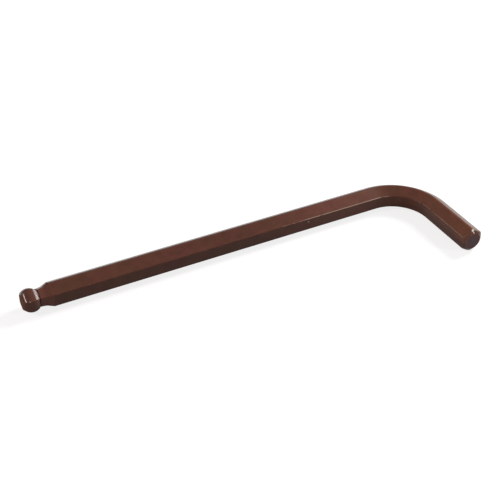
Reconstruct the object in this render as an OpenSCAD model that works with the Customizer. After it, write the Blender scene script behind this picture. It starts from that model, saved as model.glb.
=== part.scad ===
// Hex key with a ball end: one bent bar of hexagonal steel, lying flat on its lower edges.
// The long arm runs along +X from the ball end to the bend, the short arm points along -Y.
// The bar has an edge line at the top and one at the bottom, so two of its flats stand upright.
// Lengths are in millimetres. The box is centred over the origin and the lowest edge is at Z = 0.

/* [Bar] */
// Distance across the flats of the bar
across_flats = 8; // [7:0.1:10]
// Radius on the six long edges of the bar
edge_r = 0.5; // [0.25:0.05:1]

/* [Arms] */
// Length of the long arm, from the ball tip to the outside of the bend
long_arm = 158; // [110:1:220]
// Length of the short arm, from its end to the outside of the bend
short_arm = 44; // [34:1:60]
// Radius of the bend, to the centre line of the bar
bend_r = 17; // [12:0.5:22]

/* [Short arm end] */
// Diameter of the flat face left inside the chamfer
face_d = 6.2; // [5:0.1:7.6]
// Slope of the chamfer, from the plane of the end face
chamfer_angle = 35; // [20:1:50]

/* [Ball end] */
// How much smaller the ball is than the bar, on each side
ball_relief = 0.15; // [0.05:0.01:0.3]
// Distance across the flats of the tip face
tip_w = 5.3; // [4.4:0.1:5.8]
// Diameter of the round cut on the corners of the tip face
tip_d = 5.7; // [5.5:0.1:6.1]
// Slope of that round cut, from the plane of the tip face
tip_angle = 30; // [20:1:45]
// Length from the tip face to the shoulder, where the full bar starts
shoulder_x = 9.8; // [9:0.1:14]
// Length of the steep part of the neck, which ends at the shoulder
neck_l = 2.3; // [1.6:0.1:3]
// Slope of the steep part of the neck
neck_angle = 21.5; // [16:0.5:26]
// Slope of the slender waist between the ball and the neck
waist_angle = 6; // [2:0.5:10]
// Radius of the hollow between the ball and the waist
hollow_r = 0.7; // [0.4:0.05:1]
// Radius between the waist and the neck
knee_r = 3; // [1:0.5:4]

/* [Parts] */
// Which piece is drawn

/* [Hidden] */
steel_brown = [0.34, 0.23, 0.19];
sides = 6;
side_turn = 60;
half_turn = side_turn / 2;
quarter_turn = 90;
// Facets of each rounded edge of the bar, of the ball, of the hollow and of the knee
edge_steps = 4;
ball_steps = 20;
hollow_steps = 6;
knee_steps = 3;
// How far cutting shapes go past the surface that they cut
over = 1;

// Distances from the axis of the bar: to a flat, to the middle of an edge radius,
// to the outermost line of that radius, and to the corner that it rounds off
half_flat = across_flats / 2;
edge_mid = (half_flat - edge_r) / cos(half_turn);
edge_reach = edge_mid + edge_r;
sharp_reach = half_flat / cos(half_turn);

// The bend lies between these two straight stretches
bend_x = long_arm - half_flat - bend_r;
short_run = short_arm - half_flat - bend_r;
// The key is drawn from the ball tip, then moved by this
place = [-long_arm / 2, short_arm / 2 - half_flat, edge_reach];

// The ball, seen along one pair of flats: a circle cut off by the tip face
ball_r = half_flat - ball_relief;
ball_x = sqrt(ball_r * ball_r - tip_w * tip_w / 4);
// The knee is where the slopes of the waist and the neck meet
knee_x = shoulder_x - neck_l;
knee_y = half_flat - neck_l * tan(neck_angle);
// The hollow is the circle that touches both the waist line and the ball
slope_x = cos(waist_angle);
slope_y = sin(waist_angle);
from_ball_x = knee_x - ball_x - hollow_r * slope_y;
from_ball_y = knee_y + hollow_r * slope_x;
touch = ball_r + hollow_r;
along = from_ball_x * slope_x + from_ball_y * slope_y;
apart = from_ball_x * from_ball_x + from_ball_y * from_ball_y;
run = along - sqrt(along * along + touch * touch - apart);
hollow_mid = [ball_x + from_ball_x - run * slope_x, from_ball_y - run * slope_y];
// The round on the knee touches both of its slopes
knee_turn = (neck_angle + waist_angle) / 2;
knee_reach = knee_r / cos((neck_angle - waist_angle) / 2);
knee_mid = [knee_x - knee_reach * sin(knee_turn), knee_y + knee_reach * cos(knee_turn)];
// The neck line is drawn on past the shoulder until it is clear of the bar
clear_x = shoulder_x + over / tan(neck_angle);
clear_y = half_flat + over;
// Turns at which the ball starts and ends, from -X
tip_turn = acos(ball_x / ball_r);
ball_turn = atan2(hollow_mid.y, ball_x - hollow_mid.x);
// Turns at which the hollow ends and the knee ends, from +X
waist_turn = waist_angle - quarter_turn;
neck_turn = neck_angle - quarter_turn;

// Section of the bar, with a rounded edge at the top and at the bottom
module bar_section() {
    polygon([
        for (i = [0 : sides - 1], k = [0 : edge_steps])
            edge_mid * heading(side_turn * i)
            + edge_r * heading(side_turn * (i - 1 / 2 + k / edge_steps))
    ]);
}

// A step of one unit, at a turn from +Y
function heading(turn) = [sin(turn), cos(turn)];

// A point at one turn round the ball, from -X
function ball_point(turn) = [ball_x - ball_r * cos(turn), ball_r * sin(turn)];
// Points round an arc from one turn to another, from +X, the first turn included
function arc_points(middle, r, first, last, steps) = [
    for (i = [0 : steps])
        let (turn = first + (last - first) * i / steps)
            middle + r * [cos(turn), sin(turn)]
];

// One side of the ball, the hollow, the waist and the neck, from the tip to well past the shoulder
worked_side = concat(
    [for (i = [0 : ball_steps - 1]) ball_point(tip_turn + (ball_turn - tip_turn) * i / ball_steps)],
    arc_points(hollow_mid, hollow_r, -ball_turn, waist_turn, hollow_steps),
    arc_points(knee_mid, knee_r, waist_turn, neck_turn, knee_steps),
    [[clear_x, clear_y], [bend_x + over, clear_y]]
);

// Side view of the ball, the waist and the neck, on both sides of the axis
module ball_outline() {
    last = len(worked_side) - 1;
    polygon(concat(
        worked_side,
        [for (i = [last : -1 : 0]) [worked_side[i].x, -worked_side[i].y]]
    ));
}

// Straight bar of the long arm, with the ball, the waist and the neck worked into its free end
module long_bar() {
    color(steel_brown)
    intersection() {
        rotate([quarter_turn, 0, quarter_turn])
            linear_extrude(height = bend_x)
                bar_section();
        ball_cut(0);
        ball_cut(side_turn);
        ball_cut(-side_turn);
        tip_cut();
    }
}

// Round cut that takes the corners off the tip face
module tip_cut() {
    rotate([0, quarter_turn, 0])
        cylinder(h = bend_x, r1 = tip_d / 2, r2 = tip_d / 2 + bend_x / tan(tip_angle));
}

// One pair of flats worked to the outline of the ball and the neck
module ball_cut(turn) {
    rotate([turn, 0, 0])
        linear_extrude(height = 2 * (sharp_reach + over), center = true)
            ball_outline();
}

// Quarter bend between the two arms
module bend() {
    color(steel_brown)
    translate([bend_x, -bend_r, 0])
        rotate_extrude(angle = quarter_turn)
            translate([bend_r, 0])
                bar_section();
}

// Straight bar of the short arm, chamfered all round at its end
module short_bar() {
    color(steel_brown)
    translate([bend_x + bend_r, -bend_r, 0])
        rotate([quarter_turn, 0, 0])
            intersection() {
                linear_extrude(height = short_run)
                    bar_section();
                cylinder(h = short_run, r1 = face_d / 2 + short_run / tan(chamfer_angle), r2 = face_d / 2);
            }
}

module hex_key() {
    translate(place)
        union() {
            long_bar();
            bend();
            short_bar();
        }
}

hex_key();
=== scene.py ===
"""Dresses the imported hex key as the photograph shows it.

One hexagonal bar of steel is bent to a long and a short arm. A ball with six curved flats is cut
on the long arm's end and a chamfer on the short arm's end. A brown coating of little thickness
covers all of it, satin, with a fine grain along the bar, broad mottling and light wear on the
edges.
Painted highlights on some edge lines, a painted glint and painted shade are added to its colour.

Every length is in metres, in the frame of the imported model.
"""

import logging
import math
from dataclasses import dataclass, field
from enum import Enum

import bmesh
import bpy
from mathutils import Euler, Matrix, Vector


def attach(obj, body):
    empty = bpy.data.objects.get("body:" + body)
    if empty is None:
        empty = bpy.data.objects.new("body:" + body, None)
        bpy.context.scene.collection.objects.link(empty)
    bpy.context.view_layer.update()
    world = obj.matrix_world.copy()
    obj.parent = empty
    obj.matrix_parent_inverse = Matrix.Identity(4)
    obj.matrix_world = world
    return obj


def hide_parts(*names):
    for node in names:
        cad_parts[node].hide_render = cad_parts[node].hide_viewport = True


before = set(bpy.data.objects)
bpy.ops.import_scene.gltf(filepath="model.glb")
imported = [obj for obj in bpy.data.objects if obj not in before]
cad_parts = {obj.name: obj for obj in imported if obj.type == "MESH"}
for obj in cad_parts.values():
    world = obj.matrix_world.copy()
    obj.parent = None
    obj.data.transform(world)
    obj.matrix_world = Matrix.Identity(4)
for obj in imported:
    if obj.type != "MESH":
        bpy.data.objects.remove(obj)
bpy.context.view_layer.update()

MM = 0.001
SIDES = 6
SIDE_TURN = 2 * math.pi / SIDES
HALF_SIDE = SIDE_TURN / 2
QUARTER = math.pi / 2
NODE = "hex_key"
BODY = "root"
STRAIGHT = "straightened"
RIDGE = "ridge"
BALL = (-0.075, 0.018, 0.0045)
SHORT_END = (0.075, -0.022, 0.0045)
WARM = (1.0, 0.80, 0.75)
WHITE = (1.0, 1.0, 1.0, 1.0)
BLACK = (0.0, 0.0, 0.0, 1.0)
MIX_INPUTS = (0, 6, 7)
MIX_RESULT = 2

Colour = tuple[float, float, float, float]
Point = tuple[float, float, float]
Span = tuple[float, float]
Mesh = bmesh.types.BMesh
Edges = list[bmesh.types.BMEdge]
Socket = bpy.types.NodeSocket
Given = bpy.types.bpy_prop_collection
Inputs = dict[str | int, object]

log = logging.getLogger("hex_key")


class Region(Enum):
    """The stretches of the key that are finished apart, by material index."""

    DRAWN = 0
    CUT = 1
    CHAMFER = 2
    FACE = 3
    TIP = 4


@dataclass(frozen=True)
class Station:
    """One place along the long arm where the section is known.

    Attributes:
        along: Distance from the ball's tip face.
        half: Half the width across the flats there.
    """

    along: float
    half: float


@dataclass(frozen=True)
class BallProfile:
    """The outline that is cut on each pair of flats at the ball end.

    Attributes:
        half_flat: Half the width across the bar's flats.
        ball_r: Radius of the ball's curved flats.
        tip_half: Half the width across the flats at the tip.
        tip_face_r: Radius of the round tip face.
        tip_spread: How fast the turned rim widens behind the tip face.
        shoulder: Distance from the tip face to the shoulder, where the full bar starts.
        neck_turn: Slope of the neck's flats next to the shoulder.
        knee: Distance from the tip face to the place where the neck gets steeper.
        waist_turn: Slope of the neck's flats next to the ball.
        knee_r: Radius between the two slopes.
        hollow_r: Radius between the ball and the waist.
        ball_steps: Stations round the ball.
        hollow_steps: Stations round the hollow.
        knee_steps: Stations round the knee.
    """

    half_flat: float = 4.0 * MM
    ball_r: float = 3.85 * MM
    tip_half: float = 2.65 * MM
    tip_face_r: float = 2.85 * MM
    tip_spread: float = math.tan(math.radians(60.0))
    shoulder: float = 9.8 * MM
    neck_turn: float = math.radians(21.5)
    knee: float = 7.5 * MM
    waist_turn: float = math.radians(6.0)
    knee_r: float = 3.0 * MM
    hollow_r: float = 0.3 * MM
    ball_steps: int = 40
    hollow_steps: int = 12
    knee_steps: int = 6

    def ball_centre(self) -> Vector:
        """Returns the ball's centre, as distance from the tip face and height over the axis."""
        return Vector((math.sqrt(self.ball_r**2 - self.tip_half**2), 0.0))

    def knee_point(self) -> Vector:
        """Returns the point where the two slopes of the neck would meet."""
        depth = (self.shoulder - self.knee) * math.tan(self.neck_turn)
        return Vector((self.knee, self.half_flat - depth))

    def hollow_centre(self) -> Vector:
        """Finds the centre of the hollow that touches both the ball and the waist.

        Returns:
            The centre, as distance from the tip face and height over the axis.
        """
        slope = Vector((math.cos(self.waist_turn), math.sin(self.waist_turn)))
        outwards = Vector((-slope.y, slope.x))
        above_knee = self.knee_point() + outwards * self.hollow_r
        gap = above_knee - self.ball_centre()
        along = gap.dot(slope)
        apart = gap.length_squared - (self.ball_r + self.hollow_r) ** 2
        run = along - math.sqrt(along**2 - apart)
        return above_knee - slope * run

    def knee_centre(self) -> Vector:
        """Returns the centre of the round between the neck's two slopes."""
        half_bend = (self.neck_turn - self.waist_turn) / 2
        middle = (self.neck_turn + self.waist_turn) / 2
        away = Vector((-math.sin(middle), math.cos(middle)))
        return self.knee_point() + away * (self.knee_r / math.cos(half_bend))

    def rim_at(self, along: float) -> float:
        """Gives the reach of the turned rim that trims the corners next to the tip face.

        Args:
            along: Distance from the tip face.

        Returns:
            The rim's radius there.
        """
        return self.tip_face_r + self.tip_spread * along

    def stations(self) -> list[Station]:
        """Lists the stations from the tip face to the shoulder.

        Returns:
            The stations in order along the arm.
        """
        ball = self.ball_centre()
        hollow = self.hollow_centre()
        reach = hollow - ball
        first = math.atan2(self.tip_half, -ball.x)
        last = math.atan2(reach.y, reach.x)
        waist = 3 * QUARTER + self.waist_turn
        neck = 3 * QUARTER + self.neck_turn
        made = self.arc(ball, self.ball_r, first, last, self.ball_steps)
        made += self.arc(hollow, self.hollow_r, last + math.pi, waist, self.hollow_steps)[1:]
        made += self.arc(self.knee_centre(), self.knee_r, waist, neck, self.knee_steps)
        made.append(Station(self.shoulder, self.half_flat))
        return made

    @staticmethod
    def arc(
        centre: Vector, radius: float, first: float, last: float, steps: int
    ) -> list[Station]:
        """Lists stations round an arc of the outline.

        Args:
            centre: The arc's centre.
            radius: Its radius.
            first: The angle that it starts at.
            last: The angle that it ends at.
            steps: The number of steps between them.

        Returns:
            The stations, both ends with them.
        """
        turns = [first + (last - first) * step / steps for step in range(steps + 1)]
        return [
            Station(centre.x + radius * math.cos(turn), centre.y + radius * math.sin(turn))
            for turn in turns
        ]


def round_off(
    bm: Mesh, geom: list[object], offset: float, segments: int, affect: str
) -> list[bmesh.types.BMFace]:
    """Rounds corners or edges.

    Args:
        bm: The mesh that they are in.
        geom: The corners or edges.
        offset: The rounding's width on each side.
        segments: Steps round the rounding.
        affect: VERTICES or EDGES.

    Returns:
        The rounding's faces.
    """
    return bmesh.ops.bevel(
        bm,
        geom=geom,
        offset=offset,
        offset_type="OFFSET",
        segments=segments,
        profile=0.5,
        affect=affect,
        material=-1,
    )["faces"]


@dataclass(frozen=True)
class SectionRing:
    """The bar's section as a closed ring of edges, a hexagon with an edge line up and one down.

    Attributes:
        half: Half the width across the flats.
        edge_r: Radius of the rounded edge lines.
        reach: The furthest that the section may reach from the axis.
        edge_steps: Segments round each edge line.
        flat_steps: Segments across each flat.
        FLAT_SHARE: The share of the longest edge's length over which an edge is a flat.
    """

    half: float
    edge_r: float
    reach: float
    edge_steps: int = 6
    flat_steps: int = 12

    FLAT_SHARE = 0.9

    def add(self, bm: Mesh, centre: Vector) -> Edges:
        """Adds the ring across the long arm.

        Args:
            bm: The mesh that takes the ring.
            centre: Where the bar's axis passes through the ring.

        Returns:
            The ring's edges.
        """
        ring = bmesh.new()
        corner = self.half / math.cos(HALF_SIDE)
        bmesh.ops.create_circle(ring, cap_ends=True, radius=corner, segments=SIDES)
        offset = self.edge_r * math.tan(HALF_SIDE)
        round_off(ring, ring.verts[:], offset, self.edge_steps, "VERTICES")
        bmesh.ops.delete(ring, geom=ring.faces[:], context="FACES_ONLY")
        ring.edges.ensure_lookup_table()
        longest = max(edge.calc_length() for edge in ring.edges)
        flats = [edge for edge in ring.edges if edge.calc_length() > self.FLAT_SHARE * longest]
        bmesh.ops.subdivide_edges(ring, edges=flats, cuts=self.flat_steps - 1)
        for vert in ring.verts:
            vert.co *= min(1.0, self.reach / vert.co.length)
        upright = Matrix.Rotation(HALF_SIDE, 4, "X") @ Matrix.Rotation(QUARTER, 4, "Y")
        bmesh.ops.transform(ring, matrix=Matrix.Translation(centre) @ upright, verts=ring.verts[:])
        shape = bpy.data.meshes.new("section_ring")
        ring.to_mesh(shape)
        ring.free()
        known = len(bm.edges)
        bm.from_mesh(shape)
        bpy.data.meshes.remove(shape)
        bm.edges.ensure_lookup_table()
        return bm.edges[known:]


@dataclass
class BentBar:
    """The key itself: the bent bar with its ball end and its chamfered end.

    Attributes:
        half_flat: Half the width across the flats.
        edge_r: Radius of the bar's rounded edge lines.
        cut_edge_r: Radius of the crisper edge lines on the ball and the neck.
        long_arm: Length of the long arm over the outside.
        short_arm: Length of the short arm over the outside.
        bend_r: Radius of the bend, on the bar's axis.
        bend_steps: Segments round the bend.
        face_r: Radius of the round face at the short arm's end.
        chamfer_turn: How far the chamfer leans back from that face.
        rim_r: Width of the small rounding on the rims.
        inset: Width of the band inside the rim of an end face.
        hold: Length of the short first and last step of a straight arm.
        rim_steps: Segments of that rounding.
        ball: The ball end's outline.
        bm: The mesh that grows.
        rims: The rims that are rounded at the end.
        RIDGE_START: How near a point is to an edge line where its ridge value starts to rise.
        LEAST: The smallest distance from the axis that is divided by.
        END_DEPTH: Depth of the end faces' regions.
        CHAMFER_DEPTH: Depth of the region in which the chamfer lies.
        CHAMFER_LEAN: How far a face of the chamfer looks along the arm, at least.
    """

    half_flat: float = 4.0 * MM
    edge_r: float = 0.5 * MM
    cut_edge_r: float = 0.13 * MM
    long_arm: float = 158.0 * MM
    short_arm: float = 44.0 * MM
    bend_r: float = 17.0 * MM
    bend_steps: int = 56
    face_r: float = 3.1 * MM
    chamfer_turn: float = math.radians(35.0)
    rim_r: float = 0.07 * MM
    inset: float = 0.25 * MM
    hold: float = 0.3 * MM
    rim_steps: int = 2
    ball: BallProfile = field(default_factory=BallProfile)
    bm: Mesh = field(default_factory=bmesh.new)
    rims: Edges = field(default_factory=list)

    RIDGE_START = 0.93
    LEAST = 0.01 * MM
    END_DEPTH = 0.02 * MM
    CHAMFER_DEPTH = 1.2 * MM
    CHAMFER_LEAN = 0.3

    def edge_reach(self) -> float:
        """Returns how far the rounded edge lines stand from the axis."""
        return (self.half_flat - self.edge_r) / math.cos(HALF_SIDE) + self.edge_r

    def tip(self) -> Vector:
        """Returns the middle of the ball's tip face."""
        return Vector((-self.long_arm / 2, self.short_arm / 2 - self.half_flat, self.edge_reach()))

    def bend_centre(self) -> Vector:
        """Returns the point that the bend turns about."""
        run = self.long_arm - self.half_flat - self.bend_r
        return self.tip() + Vector((run, -self.bend_r, 0.0))

    def edge_r_at(self, half: float) -> float:
        """Gives the radius of an edge line, which follows the bar's own where it is cut less.

        Args:
            half: Half the width across the flats there.

        Returns:
            The radius of the edge line.
        """
        corner = 1 / math.cos(HALF_SIDE)
        return max(self.cut_edge_r, (half * corner - self.edge_reach()) / (corner - 1))

    def straightened(self, place: Vector) -> Vector:
        """Unbends a point, so that a pattern can follow the bar round its bend.

        Args:
            place: A point of the key.

        Returns:
            Distance along the axis from the tip face, distance outwards from the axis, and
            height over the axis.
        """
        tip = self.tip()
        centre = self.bend_centre()
        height = place.z - tip.z
        if place.x <= centre.x:
            return Vector((place.x - tip.x, place.y - tip.y, height))
        start = centre.x - tip.x
        if place.y >= centre.y:
            spoke = place - centre
            turn = math.atan2(spoke.x, spoke.y)
            return Vector((start + turn * self.bend_r, spoke.xy.length - self.bend_r, height))
        past = start + QUARTER * self.bend_r
        return Vector((past + centre.y - place.y, place.x - centre.x - self.bend_r, height))

    def ridge_at(self, straight: Vector) -> float:
        """Tells how near a point of the section is to an edge line.

        Args:
            straight: The unbent point.

        Returns:
            1 on an edge line, falling to 0 on the flats beside it.
        """
        spans = sorted(
            abs(straight.y * math.cos(turn) + straight.z * math.sin(turn))
            for turn in (0.0, SIDE_TURN, -SIDE_TURN)
        )
        nearness = spans[1] / max(spans[2], self.LEAST)
        return min(max((nearness - self.RIDGE_START) / (1 - self.RIDGE_START), 0.0), 1.0)

    def build(self) -> bpy.types.Object:
        """Builds the key's mesh with its regions and its attributes.

        Returns:
            The key, not yet dressed.
        """
        bm = self.bm
        ring = self.add_ball_end()
        long_run = self.bend_centre().x - self.tip().x - self.ball.shoulder
        short_run = self.bend_centre().y + self.short_arm / 2
        chamfer_run = (self.edge_reach() - self.face_r) * math.tan(self.chamfer_turn)
        ring = self.add_straight(ring, Vector((long_run, 0.0, 0.0)), self.hold)
        ring = self.add_bend(ring)
        ring = self.add_straight(ring, Vector((0.0, -short_run, 0.0)), chamfer_run + self.hold)
        self.add_chamfer(ring)
        rounds = set(round_off(bm, self.rims, self.rim_r, self.rim_steps, "EDGES"))
        ridge = bm.verts.layers.float.new(RIDGE)
        straight = bm.verts.layers.float_vector.new(STRAIGHT)
        for vert in bm.verts:
            vert[straight] = self.straightened(vert.co)
            vert[ridge] = self.ridge_at(Vector(vert[straight]))
        for vert in {vert for face in rounds for vert in face.verts}:
            worn_and_highlight = vert.co.x > 0 and rounds.issuperset(vert.link_faces)
            vert[ridge] = 1.0 if worn_and_highlight else 0.0
        for face in bm.faces:
            face.smooth = True
            face.material_index = self.region(face).value
        bmesh.ops.recalc_face_normals(bm, faces=bm.faces[:])
        shape = bpy.data.meshes.new("bent_bar")
        bm.to_mesh(shape)
        bm.free()
        bar = bpy.data.objects.new("bent_bar", shape)
        bpy.context.scene.collection.objects.link(bar)
        return bar

    def add_ball_end(self) -> Edges:
        """Adds the tip face, the ball, the hollow and the neck.

        Returns:
            The ring at the shoulder.
        """
        ring = []
        for station in self.ball.stations():
            rim = self.ball.rim_at(station.along)
            section = SectionRing(station.half, self.edge_r_at(station.half), rim)
            following = section.add(self.bm, self.tip() + Vector((station.along, 0.0, 0.0)))
            if ring:
                bmesh.ops.bridge_loops(self.bm, edges=ring + following)
            else:
                self.close(following, Vector((-1.0, 0.0, 0.0)))
                self.rims.extend(following)
            ring = following
        self.rims.extend(ring)
        return ring

    def add_straight(self, ring: Edges, run: Vector, last: float) -> Edges:
        """Draws a ring out along a straight arm.

        Args:
            ring: The ring that the arm starts from.
            run: The arm's direction and length.
            last: The length of the arm's last short step.

        Returns:
            The ring at the arm's far end.
        """
        for length in (self.hold, run.length - self.hold - last, last):
            drawn = bmesh.ops.extrude_edge_only(self.bm, edges=ring)["geom"]
            verts = [item for item in drawn if isinstance(item, bmesh.types.BMVert)]
            bmesh.ops.translate(self.bm, verts=verts, vec=run.normalized() * length)
            ring = self.ring_of(verts)
        return ring

    def add_bend(self, ring: Edges) -> Edges:
        """Sweeps a ring through the quarter bend.

        Args:
            ring: The ring at the bend's start.

        Returns:
            The ring at the bend's end.
        """
        verts = list({vert for edge in ring for vert in edge.verts})
        swept = bmesh.ops.spin(
            self.bm,
            geom=ring + verts,
            cent=self.bend_centre(),
            axis=(0.0, 0.0, 1.0),
            angle=-QUARTER,
            steps=self.bend_steps,
            use_merge=False,
            use_duplicate=False,
        )["geom_last"]
        return self.ring_of([item for item in swept if isinstance(item, bmesh.types.BMVert)])

    def add_chamfer(self, ring: Edges) -> None:
        """Cuts the chamfer on the short arm's end and closes the arm with its round face.

        Args:
            ring: The ring at the arm's end.
        """
        centre = self.bend_centre() + Vector((self.bend_r, 0.0, 0.0))
        drawn = bmesh.ops.extrude_edge_only(self.bm, edges=ring)["geom"]
        inner = [item for item in drawn if isinstance(item, bmesh.types.BMVert)]
        outer = {vert for edge in ring for vert in edge.verts}
        slope = math.tan(self.chamfer_turn)
        for vert in outer:
            reach = math.hypot(vert.co.x - centre.x, vert.co.z - centre.z)
            vert.co.y += (reach - self.face_r) * slope
        for vert in inner:
            away = Vector((vert.co.x - centre.x, 0.0, vert.co.z - centre.z))
            vert.co += away * (self.face_r / away.length - 1)
        face_rim = self.ring_of(inner)
        self.close(face_rim, Vector((0.0, -1.0, 0.0)))
        self.rims.extend(ring + face_rim)

    def close(self, ring: Edges, outwards: Vector) -> None:
        """Closes an end of the bar with a flat face and a narrow band round it.

        Args:
            ring: The end's rim.
            outwards: The way that the face looks.
        """
        face = bmesh.ops.contextual_create(self.bm, geom=ring)["faces"][0]
        face.normal_update()
        if face.normal.dot(outwards) < 0:
            face.normal_flip()
        bmesh.ops.inset_region(
            self.bm, faces=[face], thickness=self.inset, use_even_offset=True
        )

    @staticmethod
    def ring_of(verts: list[bmesh.types.BMVert]) -> Edges:
        """Lists the edges that join the vertices of one ring.

        Args:
            verts: The ring's vertices.

        Returns:
            The ring's edges.
        """
        known = set(verts)
        return list(
            {edge for vert in verts for edge in vert.link_edges if edge.other_vert(vert) in known}
        )

    def region(self, face: bmesh.types.BMFace) -> Region:
        """Tells which finish a face of the key takes.

        Args:
            face: The face.

        Returns:
            Its region.
        """
        face.normal_update()
        middle = face.calc_center_median()
        tip_side = middle.x - self.tip().x
        end_side = middle.y + self.short_arm / 2
        if tip_side < self.END_DEPTH:
            return Region.TIP
        if end_side < self.END_DEPTH:
            return Region.FACE
        if tip_side < self.ball.shoulder:
            return Region.CUT
        leans = abs(face.normal.y) > self.CHAMFER_LEAN
        if middle.x > 0 and end_side < self.CHAMFER_DEPTH and leans:
            return Region.CHAMFER
        return Region.DRAWN


@dataclass(frozen=True)
class NodeSheet:
    """Sets nodes in one tree and joins them.

    Attributes:
        tree: The tree that takes the nodes.
    """

    tree: bpy.types.NodeTree

    def add(self, kind: str, inputs: Inputs | None = None, **settings: object) -> bpy.types.Node:
        """Adds a node.

        Args:
            kind: The node's type name.
            inputs: A value or socket for each input.
            settings: The node's own settings.

        Returns:
            The node.
        """
        node = self.tree.nodes.new(kind)
        for name, value in settings.items():
            setattr(node, name, value)
        for name, value in (inputs or {}).items():
            if isinstance(value, Socket):
                self.tree.links.new(value, node.inputs[name])
            else:
                node.inputs[name].default_value = value
        return node

    def math(self, operation: str, *values: object, clamp: bool = False) -> Socket:
        """Adds a sum and gives its result.

        Args:
            operation: What is done.
            values: The numbers or sockets that it works on.
            clamp: True to hold the result between 0 and 1.

        Returns:
            The result's socket.
        """
        given = dict(enumerate(values))
        return self.add("ShaderNodeMath", given, operation=operation, use_clamp=clamp).outputs[0]

    def spread(
        self, value: Socket, span: Span, to_low: float = 0.0, to_high: float = 1.0
    ) -> Socket:
        """Maps a span of values to another one, held at both ends.

        Args:
            value: The socket that is mapped.
            span: The values that become to_low and to_high.
            to_low: The result at the span's start.
            to_high: The result at the span's end.

        Returns:
            The result's socket.
        """
        given = dict(enumerate((value, *span, to_low, to_high)))
        return self.add("ShaderNodeMapRange", given, clamp=True).outputs[0]

    def blend(self, amount: object, first: object, second: object) -> Socket:
        """Blends two colours.

        Args:
            amount: How much of the second, from 0 to 1.
            first: The first colour or its socket.
            second: The second colour or its socket.

        Returns:
            The blended colour's socket.
        """
        given = dict(zip(MIX_INPUTS, (amount, first, second)))
        return self.add("ShaderNodeMix", given, data_type="RGBA").outputs[MIX_RESULT]

    def effect(self, kind: type["EffectGroup"], inputs: Inputs) -> Given:
        """Adds one of the shared effects.

        Args:
            kind: The effect.
            inputs: A value or socket for each input.

        Returns:
            The effect's output sockets, by name.
        """
        return self.add("ShaderNodeGroup", inputs, node_tree=kind.group()).outputs

    def surface(self, inputs: Inputs) -> None:
        """Adds the shader and the material's output.

        Args:
            inputs: A value or socket for each of the shader's inputs.
        """
        shader = self.add("ShaderNodeBsdfPrincipled", inputs)
        self.add("ShaderNodeOutputMaterial", {"Surface": shader.outputs[0]})


def new_material(name: str) -> tuple[bpy.types.Material, NodeSheet]:
    """Makes a material without nodes.

    Args:
        name: The material's name.

    Returns:
        The material and the sheet of its tree.
    """
    material = bpy.data.materials.new(name)
    material.use_nodes = True
    material.node_tree.nodes.clear()
    return material, NodeSheet(material.node_tree)


class EffectGroup:
    """A shader node group that is built once and gives masks from 0 to 1.

    Each effect adds its nodes in its own method masks.

    Attributes:
        NAME: The group's name.
        INPUTS: Its inputs beside Place, the place on the straightened bar, with their values.
        OUTPUTS: The names of its masks, in the order in which masks gives them.
    """

    NAME: str
    INPUTS: dict[str, float] = {}
    OUTPUTS: tuple[str, ...]

    @classmethod
    def group(cls) -> bpy.types.NodeTree:
        """Gives the group and builds it the first time.

        Returns:
            The group.
        """
        known = bpy.data.node_groups.get(cls.NAME)
        if known:
            return known
        tree = bpy.data.node_groups.new(cls.NAME, "ShaderNodeTree")
        sockets = tree.interface
        sockets.new_socket("Place", in_out="INPUT", socket_type="NodeSocketVector")
        for name, value in cls.INPUTS.items():
            given = sockets.new_socket(name, in_out="INPUT", socket_type="NodeSocketFloat")
            given.default_value = value
        for name in cls.OUTPUTS:
            sockets.new_socket(name, in_out="OUTPUT", socket_type="NodeSocketFloat")
        sheet = NodeSheet(tree)
        masks = cls.masks(sheet, sheet.add("NodeGroupInput").outputs)
        sheet.add("NodeGroupOutput", dict(zip(cls.OUTPUTS, masks)))
        return tree


class BarGrain(EffectGroup):
    """The fine lines along a drawn bar, its broad mottling, its grit and its patches of tint.

    Attributes:
        NOISES: Each mask's noise, with the noise's own values that become 0 and 1.
    """

    NAME = "bar_grain"
    INPUTS = {"Line Scale": 9000.0, "Stretch": 0.02, "Mottle Scale": 260.0}
    OUTPUTS = ("Lines", "Mottle", "Grit", "Tint")
    NOISES = (
        ({"Detail": 3.0, "Roughness": 0.6}, (0.3, 0.7)),
        ({"Detail": 4.0, "Roughness": 0.55}, (0.32, 0.68)),
        ({"Detail": 2.0, "Roughness": 0.5}, (0.3, 0.7)),
        ({"Detail": 6.0, "Roughness": 0.7}, (0.38, 0.62)),
    )
    GRIT_FINER = 30.0
    TINT_FINER = 0.35

    @classmethod
    def masks(cls, sheet: NodeSheet, given: Given) -> tuple[Socket, ...]:
        """Adds the four noises.

        Args:
            sheet: The group's sheet.
            given: The group's inputs.

        Returns:
            Lines, Mottle, Grit and Tint.
        """
        place = given["Place"]
        scale = given["Mottle Scale"]
        factors = sheet.add("ShaderNodeCombineXYZ", {0: given["Stretch"], 1: 1.0, 2: 1.0})
        stretched = sheet.add(
            "ShaderNodeVectorMath", {0: place, 1: factors.outputs[0]}, operation="MULTIPLY"
        )
        read = (
            {"Vector": stretched.outputs[0], "Scale": given["Line Scale"]},
            {"Vector": place, "Scale": scale},
            {"Vector": place, "Scale": sheet.math("MULTIPLY", scale, cls.GRIT_FINER)},
            {"Vector": place, "Scale": sheet.math("MULTIPLY", scale, cls.TINT_FINER)},
        )
        return tuple(
            sheet.spread(sheet.add("ShaderNodeTexNoise", {**where, **look}).outputs[0], span)
            for where, (look, span) in zip(read, cls.NOISES)
        )


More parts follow.
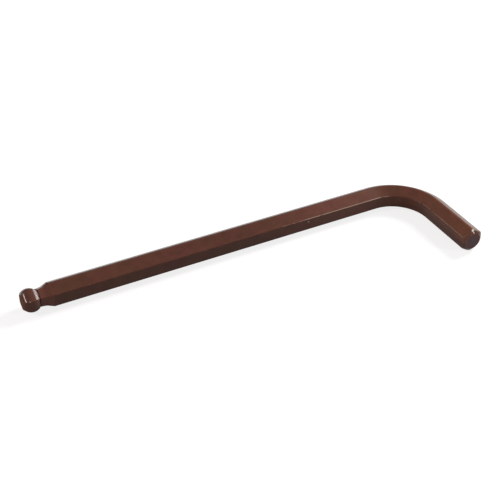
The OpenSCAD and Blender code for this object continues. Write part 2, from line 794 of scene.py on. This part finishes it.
class EdgeWearAndHighlight(EffectGroup):
    """The places where the coating is rubbed along the edge lines and the rims, and a painted
    highlight along stretches of the edge lines.

    The rubbing alone shows at the ball end; painted highlight makes the mask grow towards the
    bend, leaves the bend with the rubbing alone and comes in again on the short arm.
    """

    NAME = "edge_wear_and_highlight"
    INPUTS = {"Ridge": 0.0, "Amount": 0.5}
    OUTPUTS = ("Worn And Highlight",)
    # Painted highlight: these stretches raise the mask where the edge lines catch the lamps, and
    # lower it again in the bend.
    STRETCHES = (
        (90.0 * MM, 118.0 * MM, 0.42),
        (135.0 * MM, 146.0 * MM, -0.42),
        (152.0 * MM, 170.0 * MM, 0.36),
    )
    PATCHES = {"Scale": 420.0, "Detail": 5.0, "Roughness": 0.65}
    HIGHEST = 0.95
    FADE = (0.0, 0.25)
    CREST_POWER = 2.0

    @classmethod
    def masks(cls, sheet: NodeSheet, given: Given) -> tuple[Socket, ...]:
        """Adds the rubbed patches and the painted highlight, where the noise is over what the
        amount leaves.

        Args:
            sheet: The group's sheet.
            given: The group's inputs.

        Returns:
            Worn.
        """
        patches = sheet.add("ShaderNodeTexNoise", {"Vector": given["Place"], **cls.PATCHES})
        along = sheet.add("ShaderNodeSeparateXYZ", {0: given["Place"]}).outputs[0]
        amount = given["Amount"]
        for start, end, rise in cls.STRETCHES:
            amount = sheet.math("ADD", amount, sheet.spread(along, (start, end), 0.0, rise))
        needed = sheet.math("SUBTRACT", cls.HIGHEST, amount)
        # Rubbed patches together with the painted highlight of the stretches.
        rubbed = sheet.spread(sheet.math("SUBTRACT", patches.outputs[0], needed), cls.FADE)
        crest = sheet.math("POWER", given["Ridge"], cls.CREST_POWER)
        return (sheet.math("MULTIPLY", rubbed, crest),)


class BallMarks(EffectGroup):
    """The painted shade in the hollow behind the ball and the rubbed line on the shoulder.

    Attributes:
        MARKS: The place of each line along the bar and how far it reaches.
    """

    NAME = "ball_marks"
    OUTPUTS = ("Hollow Shade", "Rubbed")
    MARKS = ((5.50 * MM, 0.28 * MM), (9.8 * MM, 0.24 * MM))

    @classmethod
    def masks(cls, sheet: NodeSheet, given: Given) -> tuple[Socket, ...]:
        """Adds a mask for each line.

        Args:
            sheet: The group's sheet.
            given: The group's inputs.

        Returns:
            Dirt and Rubbed.
        """
        along = sheet.add("ShaderNodeSeparateXYZ", {0: given["Place"]}).outputs[0]
        lines = []
        for middle, reach in cls.MARKS:
            apart = sheet.math("ABSOLUTE", sheet.math("SUBTRACT", along, middle))
            lines.append(sheet.spread(apart, (reach / 2, reach), 1.0, 0.0))
        return tuple(lines)


class NicksAndGlint(EffectGroup):
    """The few small places where the coating is chipped, and one painted glint on the short arm's
    chamfer.

    Attributes:
        PLACES: Each spot's place on the straightened bar, its radius and how much of the steel
            colour it shows; the last is a painted glint.
    """

    NAME = "nicks_and_glint"
    OUTPUTS = ("Nick And Glint",)
    PLACES = (
        ((107.0 * MM, -4.0 * MM, 1.1 * MM), 0.34 * MM, 0.45),
        ((1.8 * MM, -3.72 * MM, 2.15 * MM), 0.30 * MM, 0.45),
        # Painted glint at the top edge line of the short arm's chamfer.
        ((186.02 * MM, -0.1 * MM, 4.40 * MM), 0.66 * MM, 1.0),
    )

    @classmethod
    def masks(cls, sheet: NodeSheet, given: Given) -> tuple[Socket, ...]:
        """Adds a mask that holds all the nicks.

        Args:
            sheet: The group's sheet.
            given: The group's inputs.

        Returns:
            Nick.
        """
        nick_and_glint = 0.0
        for place, reach, bareness in cls.PLACES:
            apart = sheet.add(
                "ShaderNodeVectorMath", {0: given["Place"], 1: place}, operation="DISTANCE"
            ).outputs["Value"]
            spot = sheet.spread(apart, (reach / 2, reach), bareness, 0.0)
            nick_and_glint = sheet.math("MAXIMUM", nick_and_glint, spot)
        return (nick_and_glint,)


class BarMasks:
    """Places on the straightened bar, and masks that are fixed to its flats and edge lines.

    Attributes:
        BELOW_TOP: Heights over the axis between which the wear and the painted highlight stop
            below the top edge line.
        OUTWARDS: Distances outwards from the axis between which the outer side starts.
        OVER_EDGE: Heights over the outer edge line between which the upper outer flat starts.
        LOWEST: Heights between which the lower edge lines end.
    """

    BELOW_TOP = (3.0 * MM, 3.8 * MM)
    OUTWARDS = (0.02 * MM, 0.10 * MM)
    OVER_EDGE = (0.0, 0.15 * MM)
    LOWEST = (-2.0 * MM, -1.2 * MM)

    def __init__(self, sheet: NodeSheet) -> None:
        """Reads the mesh's attributes.

        Args:
            sheet: The material's sheet.
        """
        self.sheet = sheet
        self.place = sheet.add("ShaderNodeAttribute", attribute_name=STRAIGHT).outputs["Vector"]
        self.ridge = sheet.add("ShaderNodeAttribute", attribute_name=RIDGE).outputs["Fac"]
        spans = sheet.add("ShaderNodeSeparateXYZ", {0: self.place}).outputs
        self.along, self.outwards, self.height = spans

    def below_top(self) -> Socket:
        """Returns 1 up to just below the top edge line and 0 on it."""
        return self.sheet.spread(self.height, self.BELOW_TOP, 1.0, 0.0)

    def outer_flat(self) -> Socket:
        """Marks the upper flat on the outside of the bend.

        Returns:
            1 on that flat, 0 elsewhere.
        """
        edge = self.sheet.math("MULTIPLY", self.outwards, math.tan(HALF_SIDE))
        over_edge = self.sheet.math("SUBTRACT", self.height, edge)
        outer = self.sheet.spread(self.outwards, self.OUTWARDS)
        return self.sheet.math("MULTIPLY", outer, self.sheet.spread(over_edge, self.OVER_EDGE))

    def lower_edges(self) -> Socket:
        """Returns 1 on the lower edge lines and 0 elsewhere."""
        low = self.sheet.spread(self.height, self.LOWEST, 1.0, 0.0)
        return self.sheet.math("MULTIPLY", low, self.ridge)


@dataclass(frozen=True)
class CoatedSteel:
    """The brown coating on one region of the key.

    Attributes:
        name: The material's name.
        deep: The coating's darker colour.
        light: The coating's lighter colour.
        olive: The colour that the coating leans to in broad patches.
        olive_share: How far it leans that way.
        warm: The colour of the upper flats near the end of the short arm, painted light that makes
            them lighter and warmer.
        warm_span: The stretch of the bar in which that colour comes in.
        warm_share: How much of that colour shows there.
        thin_and_highlight: The lighter colour of the rubbed shoulder, also painted as a highlight
            on the upper edge lines.
        thin_and_highlight_share: How much of that colour shows there.
        bare_and_highlight: The colour where the coating is rubbed through, also the colour of the
            painted highlight along stretches of the edge lines.
        chip_and_glint: The colour of the steel in the chipped spots, also the colour of the
            painted glint on the short arm's chamfer.
        roughness: How rough the coating is.
        roughness_spread: How much the roughness varies.
        ior: The coating's index of refraction.
        line_scale: How fine the lines are.
        stretch: How long the lines are, smaller is longer.
        wear: How much the edge lines are rubbed.
        shoulder_wear: How much the shoulder is rubbed.
        relief: How deep the grain is, in metres.
        tones_and_painted_light: Stretches of the bar, each with how much lighter the coating gets
            in it, partly the coating's own tone and partly painted light and shade.
        underside_painted_shade: Painted shade: how much lighter the coating is on the underside,
            below zero where it is darker.
        edge_shade: How much painted shade darkens the lower edge lines.
        outer_shade: How much painted shade darkens the upper flat on the outside of the bend.
        band: Heights between which the outer flat turns dull next to the top edge line.
        band_narrows: The stretch of the bar in which that dull band gets narrower.
        band_rise: How much narrower it gets.
        hollow_shade_tone: How much of the colour is left where painted shade darkens the ball's
            hollow.
        dull_roughness: How rough the ball's hollow and the dull stretches beside the edge lines
            are.
        PATTERN: How much each part of the grain adds to the tone.
        SIDE, UPPER, WARM_SIDE: Heights between which the tone, the lighter colour of the shoulder
            and of the
        painted highlight on the edge lines, and the warm painted light go from the underside's to
        the upper side's.
        WARM_MOTTLE: The mottling's values between which the warm colour goes from its least.
        WARM_LEAST: That least share.
        GRIT_RELIEF: How deep the grit is beside the lines.
    """

    name: str
    deep: Colour = (0.062, 0.0200, 0.0135, 1.0)
    light: Colour = (0.126, 0.0405, 0.0300, 1.0)
    olive: Colour = (0.086, 0.0380, 0.0160, 1.0)
    olive_share: float = 0.48
    warm: Colour = (0.160, 0.0570, 0.0285, 1.0)
    warm_span: Span = (144.0 * MM, 176.0 * MM)
    warm_share: float = 0.85
    thin_and_highlight: Colour = (0.150, 0.0500, 0.0340, 1.0)
    thin_and_highlight_share: float = 0.7
    bare_and_highlight: Colour = (0.45, 0.34, 0.26, 1.0)
    chip_and_glint: Colour = (0.78, 0.79, 0.72, 1.0)
    roughness: float = 0.22
    roughness_spread: float = 0.10
    ior: float = 1.22
    line_scale: float = 9000.0
    stretch: float = 0.02
    wear: float = 0.34
    shoulder_wear: float = 0.8
    relief: float = 0.0014 * MM
    tones_and_painted_light: tuple[tuple[Span, float], ...] = (
        ((5.2 * MM, 5.8 * MM), -0.02),
        ((25.0 * MM, 45.0 * MM), -0.12),
        ((55.0 * MM, 75.0 * MM), -0.18),
        ((86.0 * MM, 105.0 * MM), 0.32),
        ((105.0 * MM, 120.0 * MM), 0.22),
        ((129.0 * MM, 140.0 * MM), -0.34),
        ((146.0 * MM, 154.0 * MM), 0.20),
    )
    underside_painted_shade: float = -0.20
    edge_shade: float = 0.7
    outer_shade: float = 0.4
    band: Span = (3.5 * MM, 4.0 * MM)
    band_narrows: Span = (150.0 * MM, 164.0 * MM)
    band_rise: float = 0.4 * MM
    hollow_shade_tone: float = 0.55
    dull_roughness: float = 1.0

    PATTERN = {"Mottle": 0.45, "Lines": 0.50, "Grit": 0.30}
    SIDE = (-2.3 * MM, 2.3 * MM)
    UPPER = (-1.5 * MM, 0.0)
    WARM_SIDE = (0.0, 0.5 * MM)
    WARM_MOTTLE = (0.3, 0.7)
    WARM_LEAST = 0.6
    GRIT_RELIEF = 0.5

    def build(self) -> bpy.types.Material:
        """Builds the material.

        Returns:
            The material.
        """
        material, sheet = new_material(self.name)
        bar = BarMasks(sheet)
        lines = {"Place": bar.place, "Line Scale": self.line_scale, "Stretch": self.stretch}
        grain = sheet.effect(BarGrain, lines)
        marks = sheet.effect(BallMarks, {"Place": bar.place})
        outer = bar.outer_flat()
        # The lower edge lines, which take painted shade and a duller finish.
        lower = bar.lower_edges()
        colour = self.coating(sheet, bar, grain, marks)
        # Painted shade: the upper flat on the outside of the bend and the lower edge lines are
        # darkened towards black.
        shaded = sheet.math(
            "MAXIMUM",
            sheet.math("MULTIPLY", outer, self.outer_shade),
            sheet.math("MULTIPLY", lower, self.edge_shade),
        )
        narrowed = sheet.spread(bar.along, self.band_narrows, 0.0, self.band_rise)
        height = sheet.math("SUBTRACT", bar.height, narrowed)
        band = sheet.math("MULTIPLY", outer, sheet.spread(height, self.band))
        dull = sheet.math("MAXIMUM", sheet.math("MAXIMUM", marks["Hollow Shade"], lower), band)
        least = self.roughness - self.roughness_spread / 2
        most = self.roughness + self.roughness_spread / 2
        rough = sheet.spread(grain["Lines"], (0.0, 1.0), least, most)
        grit = sheet.math("MULTIPLY", grain["Grit"], self.GRIT_RELIEF)
        relief = sheet.math("ADD", grain["Lines"], grit)
        bump = sheet.add("ShaderNodeBump", {"Distance": self.relief, "Height": relief})
        sheet.surface(
            {
                "Base Color": sheet.blend(shaded, colour, BLACK),
                "Roughness": sheet.math(
                    "MAXIMUM", rough, sheet.math("MULTIPLY", dull, self.dull_roughness)
                ),
                "IOR": self.ior,
                "Normal": bump.outputs[0],
            }
        )
        return material

    def coating(self, sheet: NodeSheet, bar: BarMasks, grain: Given, marks: Given) -> Socket:
        """Gives the coating's colour with its painted light and shade, rubbed places, chipped
        spots and a painted glint.

        Args:
            sheet: The material's sheet.
            bar: The places on the bar.
            grain: The grain's masks.
            marks: The masks of the ball's marks.

        Returns:
            The colour's socket.
        """
        # Painted shade: the coating is darker towards the underside.
        tone = sheet.spread(bar.height, self.SIDE, self.underside_painted_shade, 0.0)
        # The stretches along the bar: partly the coating's own tone, partly painted light and
        # shade.
        for span, rise in self.tones_and_painted_light:
            tone = sheet.math("ADD", tone, sheet.spread(bar.along, span, 0.0, rise))
        for name, share in self.PATTERN.items():
            tone = sheet.math("ADD", tone, sheet.math("MULTIPLY", grain[name], share))
        coat = sheet.blend(tone, self.deep, self.light)
        coat = sheet.blend(
            sheet.math("MULTIPLY", grain["Tint"], self.olive_share), coat, self.olive
        )
        # Painted light: the upper side near the short arm's end turns lighter and warmer.
        warmth = sheet.math(
            "MULTIPLY",
            sheet.spread(bar.along, self.warm_span, 0.0, self.warm_share),
            sheet.spread(bar.height, self.WARM_SIDE),
        )
        mottle = sheet.spread(grain["Mottle"], self.WARM_MOTTLE, self.WARM_LEAST, 1.0)
        coat = sheet.blend(sheet.math("MULTIPLY", warmth, mottle), coat, self.warm)
        # Painted highlight on the upper edge lines, and the rubbed shoulder, both in the lighter
        # colour.
        upper = sheet.spread(bar.height, self.UPPER, 0.0, self.thin_and_highlight_share)
        beside = sheet.math("MULTIPLY", sheet.math("MULTIPLY", upper, bar.below_top()), bar.ridge)
        shoulder = sheet.math(
            "MULTIPLY", marks["Rubbed"], sheet.math("MULTIPLY", upper, self.shoulder_wear)
        )
        coat = sheet.blend(sheet.math("MAXIMUM", beside, shoulder), coat, self.thin_and_highlight)
        # Rubbed edge lines, with painted highlight along stretches of them.
        edges = {"Place": bar.place, "Ridge": bar.ridge, "Amount": self.wear}
        worn_and_highlight = sheet.math("MULTIPLY", sheet.effect(EdgeWearAndHighlight, edges)["Worn And Highlight"], bar.below_top())
        # Chipped spots and a painted glint on the short arm's chamfer.
        nick_and_glint = sheet.effect(NicksAndGlint, {"Place": bar.place})["Nick And Glint"]
        # Painted shade: the ball's hollow is darkened.
        hollow_shade = tuple(part * self.hollow_shade_tone for part in self.deep[:3]) + (1.0,)
        coat = sheet.blend(marks["Hollow Shade"], sheet.blend(worn_and_highlight, coat, self.bare_and_highlight), hollow_shade)
        return sheet.blend(nick_and_glint, coat, self.chip_and_glint)


@dataclass(frozen=True)
class EndFace:
    """The matte finish of an end face, greyer in the middle than near the rim.

    Attributes:
        name: The material's name.
        middle: The colour in the middle.
        rim: The colour near the rim.
        turn: Radii between which the middle's colour turns into the rim's.
        ragged: How far the mottling moves that turn inwards.
        roughness: How rough the face is.
        specular: How strongly it shines, where 0.5 is plain.
        relief: How deep its grit is, in metres.
        GRAIN: The settings of its grain.
    """

    name: str
    middle: Colour = (0.089, 0.078, 0.078, 1.0)
    rim: Colour = (0.118, 0.056, 0.057, 1.0)
    turn: Span = (0.4 * MM, 3.0 * MM)
    ragged: float = 0.8 * MM
    roughness: float = 0.7
    specular: float = 0.12
    relief: float = 0.006 * MM

    GRAIN = {"Line Scale": 3000.0, "Stretch": 1.0, "Mottle Scale": 900.0}

    def build(self) -> bpy.types.Material:
        """Builds the material.

        Returns:
            The material.
        """
        material, sheet = new_material(self.name)
        place = sheet.add("ShaderNodeAttribute", attribute_name=STRAIGHT).outputs["Vector"]
        grain = sheet.effect(BarGrain, {"Place": place, **self.GRAIN})
        across = sheet.add(
            "ShaderNodeVectorMath", {0: place, 1: (0.0, 1.0, 1.0)}, operation="MULTIPLY"
        ).outputs[0]
        radius = sheet.add("ShaderNodeVectorMath", {0: across}, operation="LENGTH")
        ragged = sheet.math(
            "ADD",
            radius.outputs["Value"],
            sheet.math("MULTIPLY", grain["Mottle"], self.ragged),
        )
        relief = sheet.math("ADD", grain["Grit"], grain["Lines"])
        bump = sheet.add("ShaderNodeBump", {"Distance": self.relief, "Height": relief})
        sheet.surface(
            {
                "Base Color": sheet.blend(sheet.spread(ragged, self.turn), self.middle, self.rim),
                "Roughness": self.roughness,
                "Specular IOR Level": self.specular,
                "Normal": bump.outputs[0],
            }
        )
        return material


def seen_white(sheet: NodeSheet) -> Socket:
    """Adds the mask of the rays that see the plain white background.

    Args:
        sheet: The tree's sheet.

    Returns:
        1 for camera, glossy and transmission rays, otherwise 0.
    """
    path = sheet.add("ShaderNodeLightPath").outputs
    glossy = sheet.math("ADD", path["Is Glossy Ray"], path["Is Transmission Ray"])
    return sheet.math("ADD", path["Is Camera Ray"], glossy, clamp=True)


@dataclass(frozen=True)
class Stage:
    """The pale floor and the soft white surroundings.

    Attributes:
        half_size: Half the floor's width.
        floor_colour: The floor's own colour, which takes the key's shadow.
        floor_white: How much plain white is added where the floor is seen, near the key.
        fade: Distances between which the floor turns plain white, out of the lamps' reach.
        sky: How strongly the surroundings light the key.
    """

    half_size: float = 3.0
    floor_colour: Colour = (0.25, 0.25, 0.25, 1.0)
    floor_white: float = 0.81
    fade: Span = (0.3, 1.1)
    sky: float = 0.15

    def build(self) -> None:
        """Makes the floor and sets the world."""
        bm = bmesh.new()
        bmesh.ops.create_grid(bm, x_segments=2, y_segments=2, size=self.half_size)
        shape = bpy.data.meshes.new("floor")
        bm.to_mesh(shape)
        bm.free()
        floor = bpy.data.objects.new("floor", shape)
        bpy.context.scene.collection.objects.link(floor)
        shape.materials.append(self.floor_material())
        self.set_world()

    def floor_material(self) -> bpy.types.Material:
        """Builds the floor's material.

        Returns:
            The material.
        """
        material, sheet = new_material("floor")
        matt = sheet.add("ShaderNodeBsdfDiffuse", {"Color": self.floor_colour})
        place = sheet.add("ShaderNodeTexCoord").outputs["Object"]
        apart = sheet.add("ShaderNodeVectorMath", {0: place}, operation="LENGTH").outputs["Value"]
        added = sheet.spread(apart, self.fade, self.floor_white, 1.0)
        share = sheet.math("MULTIPLY", seen_white(sheet), added)
        white = sheet.add("ShaderNodeEmission", {"Color": WHITE, "Strength": share})
        both = sheet.add("ShaderNodeAddShader", {0: matt.outputs[0], 1: white.outputs[0]})
        sheet.add("ShaderNodeOutputMaterial", {"Surface": both.outputs[0]})
        return material

    def set_world(self) -> None:
        """Sets the surroundings: white as seen, softer as a light."""
        world = bpy.data.worlds.new("surroundings")
        world.use_nodes = True
        world.node_tree.nodes.clear()
        sheet = NodeSheet(world.node_tree)
        strength = sheet.spread(seen_white(sheet), (0.0, 1.0), self.sky, 1.0)
        light = sheet.add("ShaderNodeBackground", {"Color": WHITE, "Strength": strength})
        sheet.add("ShaderNodeOutputWorld", {"Surface": light.outputs[0]})
        bpy.context.scene.world = world


@dataclass(frozen=True)
class Softbox:
    """One soft lamp that faces the key.

    Attributes:
        name: The lamp's name.
        target: The point that it faces.
        towards: The direction from the target to the lamp.
        distance: How far the lamp stands from the target.
        size: The lamp's width and height.
        glow: The radiance of its face, where 1 is the white of the background.
        colour: The lamp's colour.
    """

    name: str
    target: Point
    towards: Point
    distance: float
    size: Span
    glow: float
    colour: Point = (1.0, 1.0, 1.0)

    def build(self) -> None:
        """Hangs the lamp."""
        lamp = bpy.data.lights.new(self.name, "AREA")
        lamp.shape = "RECTANGLE"
        lamp.size, lamp.size_y = self.size
        lamp.color = self.colour
        lamp.energy = self.glow * math.pi * math.prod(self.size)
        stand = bpy.data.objects.new(self.name, lamp)
        away = Vector(self.towards).normalized()
        stand.location = Vector(self.target) + away * self.distance
        stand.rotation_euler = away.to_track_quat("Z", "Y").to_euler()
        stand.visible_camera = False
        bpy.context.scene.collection.objects.link(stand)


@dataclass(frozen=True)
class PhotoCamera:
    """The camera at the photograph's place.

    Attributes:
        place: Where it stands.
        turn: Its rotation about X, Y and Z, in degrees.
        lens: Its focal length, in millimetres.
        sensor: The width of its sensor, in millimetres.
        clip: The nearest and the furthest distance that it sees.
    """

    place: Point = (-0.148762, -0.259519, 0.229660)
    turn: Point = (53.85800, -1.00306, -28.43970)
    lens: float = 78.231
    sensor: float = 36.0
    clip: Span = (0.01, 20.0)

    def build(self) -> None:
        """Sets the camera and the plain view transform."""
        data = bpy.data.cameras.new("photo_camera")
        data.lens = self.lens
        data.sensor_width = self.sensor
        data.clip_start, data.clip_end = self.clip
        camera = bpy.data.objects.new("photo_camera", data)
        camera.location = self.place
        camera.rotation_euler = Euler([math.radians(angle) for angle in self.turn], "XYZ")
        bpy.context.scene.collection.objects.link(camera)
        bpy.context.scene.camera = camera
        bpy.context.scene.view_settings.view_transform = "Standard"


def dress_key() -> bpy.types.Object:
    """Builds the key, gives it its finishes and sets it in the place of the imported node.

    Returns:
        The finished key.
    """
    bar = BentBar().build()
    finishes = {
        Region.DRAWN: CoatedSteel("coating_on_drawn_flats"),
        Region.CUT: CoatedSteel(
            "coating_on_cut_flats",
            deep=(0.083, 0.030, 0.020, 1.0),
            light=(0.143, 0.050, 0.036, 1.0),
            olive=(0.104, 0.044, 0.022, 1.0),
            tones_and_painted_light=(((0.0, 0.1 * MM), -0.25), ((5.2 * MM, 5.8 * MM), 0.62)),
            line_scale=5000.0,
            stretch=0.6,
            relief=0.0004 * MM,
            roughness=0.165,
            roughness_spread=0.04,
            band=(2.7 * MM, 3.3 * MM),
        ),
        Region.CHAMFER: CoatedSteel(
            "coating_on_chamfer",
            deep=(0.078, 0.032, 0.026, 1.0),
            light=(0.118, 0.050, 0.040, 1.0),
            olive=(0.098, 0.045, 0.027, 1.0),
            tones_and_painted_light=(),
            line_scale=5000.0,
            stretch=0.6,
            relief=0.0004 * MM,
            roughness=0.12,
            ior=1.27,
        ),
        Region.FACE: EndFace("coating_on_end_face"),
        Region.TIP: EndFace(
            "coating_on_tip_face",
            middle=(0.128, 0.064, 0.044, 1.0),
            rim=(0.142, 0.062, 0.041, 1.0),
            specular=0.02,
        ),
    }
    for region in Region:
        bar.data.materials.append(finishes[region].build())
    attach(bar, BODY)
    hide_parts(NODE)
    log.info("%s: %d faces", bar.name, len(bar.data.polygons))
    return bar


LAMPS = (
    Softbox("right_softbox", BALL, (0.842, 0.106, 0.528), 0.55, (0.14, 0.225), 29.0),
    Softbox("left_softbox", BALL, (-0.768, 0.006, 0.640), 0.65, (0.08, 0.08), 84.0, WARM),
    Softbox("front_softbox", SHORT_END, (0.555, -0.737, 0.386), 0.55, (0.07, 0.10), 48.0),
)


def main() -> None:
    """Builds the key, the stage, the lamps and the camera, and logs what it made."""
    logging.basicConfig(level=logging.INFO, format="%(name)s: %(message)s")
    dress_key()
    Stage().build()
    for lamp in LAMPS:
        lamp.build()
        log.info("%s hung", lamp.name)
    PhotoCamera().build()


if __name__ == "__main__":
    main()
